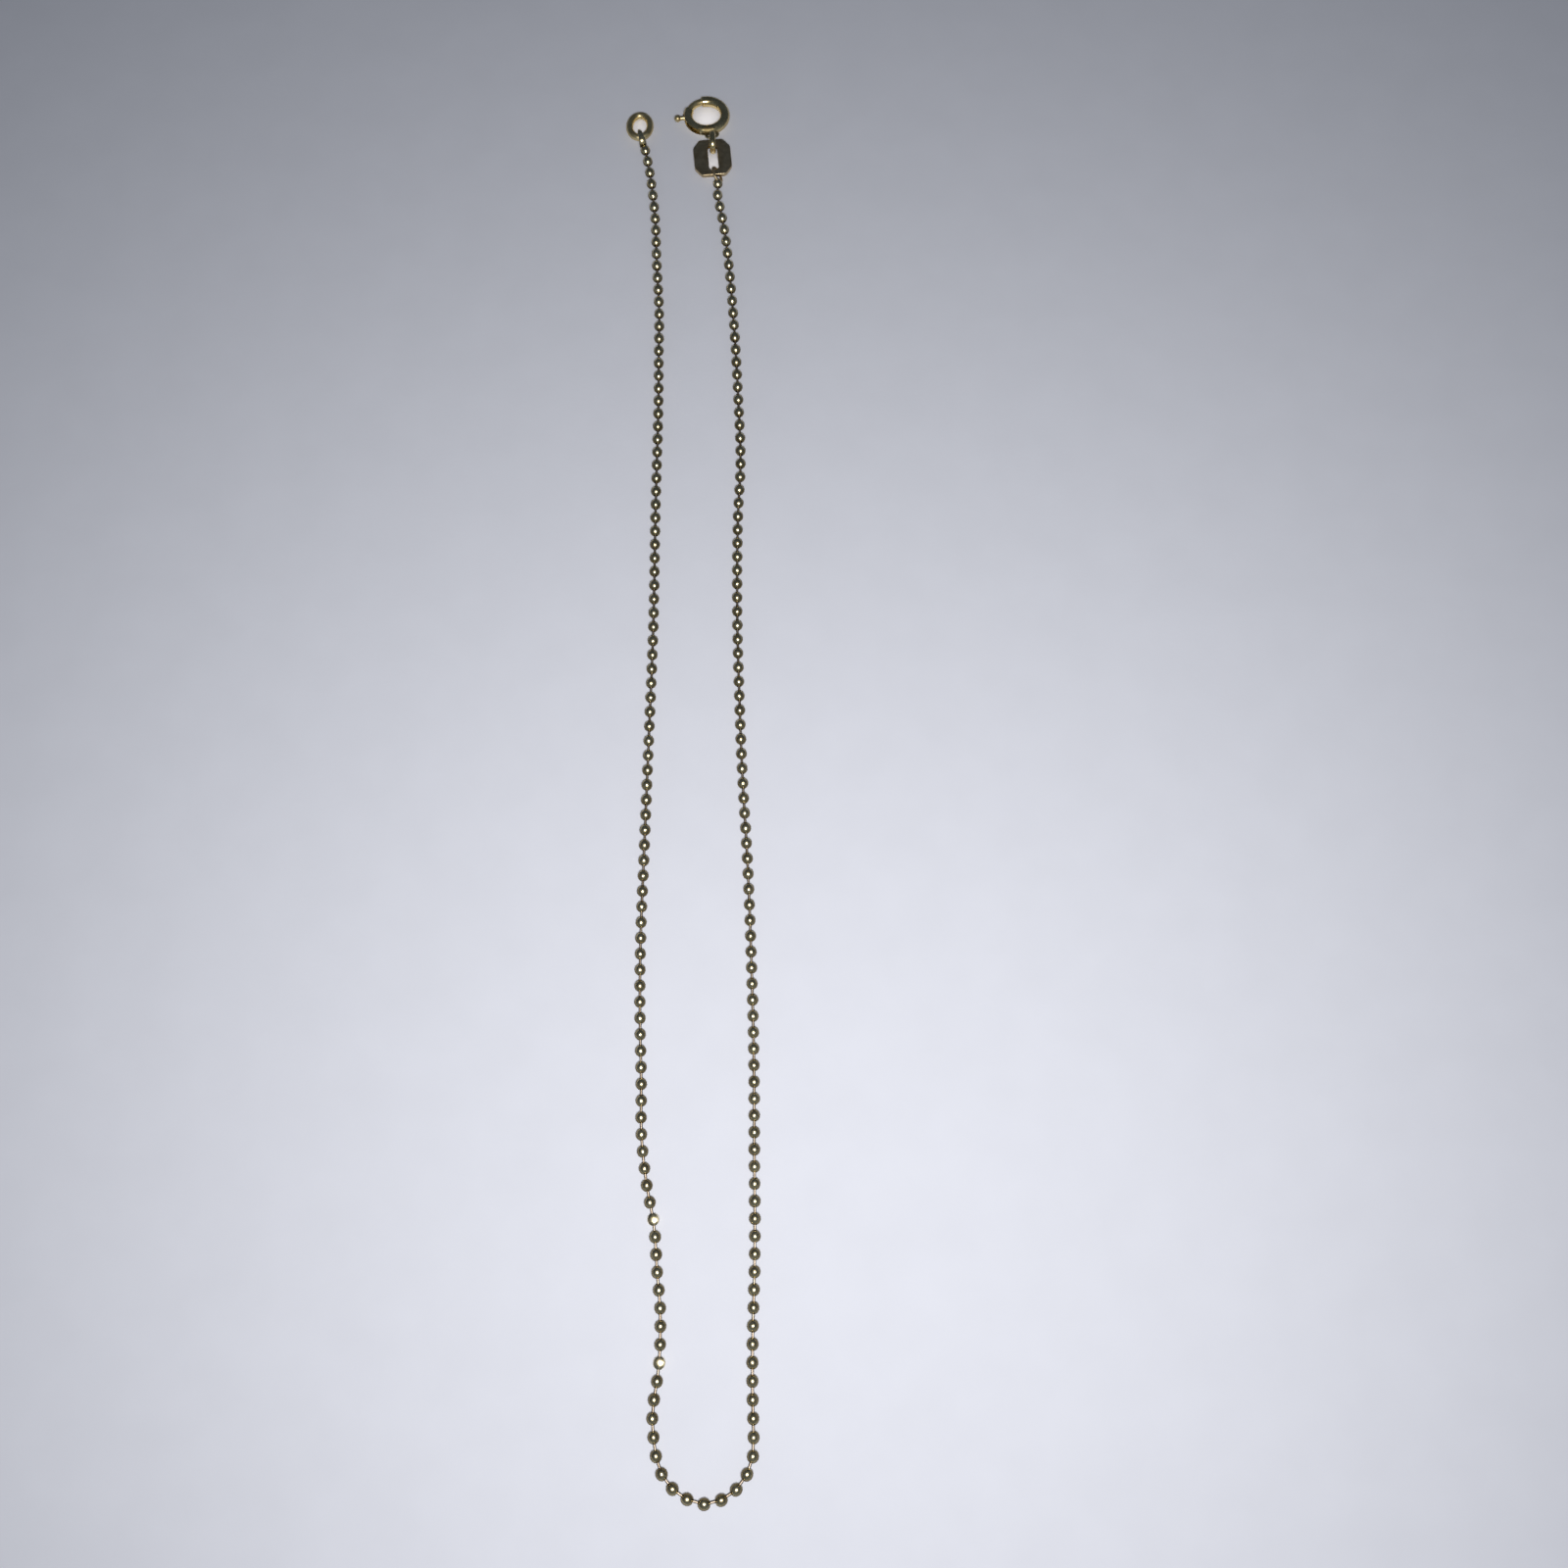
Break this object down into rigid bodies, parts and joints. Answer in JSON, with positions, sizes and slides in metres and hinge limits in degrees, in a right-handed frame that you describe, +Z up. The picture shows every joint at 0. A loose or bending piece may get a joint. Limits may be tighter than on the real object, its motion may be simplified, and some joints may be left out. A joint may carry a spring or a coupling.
{
  "type": "chain anklet",
  "caption": "Unfastened bead chain anklet lying as a long narrow loop, with a jump ring on one end and a slotted tag plate and spring ring clasp on the other.",
  "frame": {"origin": "centre of the whole anklet's box, on the surface that it lies on", "axes": "+Y from the bend of the long loop to its two ends, +X towards the strand that carries the clasp, +Z up"},
  "size_m": [0.0135, 0.1259, 0.0018],
  "materials": {
    "chain_gold": "pale yellow gold, diamond-cut beads polished bright on their cut faces",
    "ring_gold": "pale yellow gold, polished round wire and tube with faint handling marks",
    "plate_gold": "pale yellow gold, flat polished face with fine scratches and no marking"
  },
  "bodies": {
    "anklet": {"chain_left": "chain_gold", "chain_right": "chain_gold", "jump_ring": "ring_gold", "tag_plate": "plate_gold", "clasp_link": "ring_gold", "spring_ring": "ring_gold"},
    "trigger": {"clasp_trigger": "ring_gold"}
  },
  "joints": [
    {"name": "trigger", "type": "hinge", "parent": "anklet", "child": "trigger", "pos_m": [0.00107, 0.06064, 0.00062], "axis": [0, 0.0785, 0.9969], "range_deg": [0, 58], "stiffness_Nm_per_rad": 0.002, "springref_deg": -22.92}
  ]
}
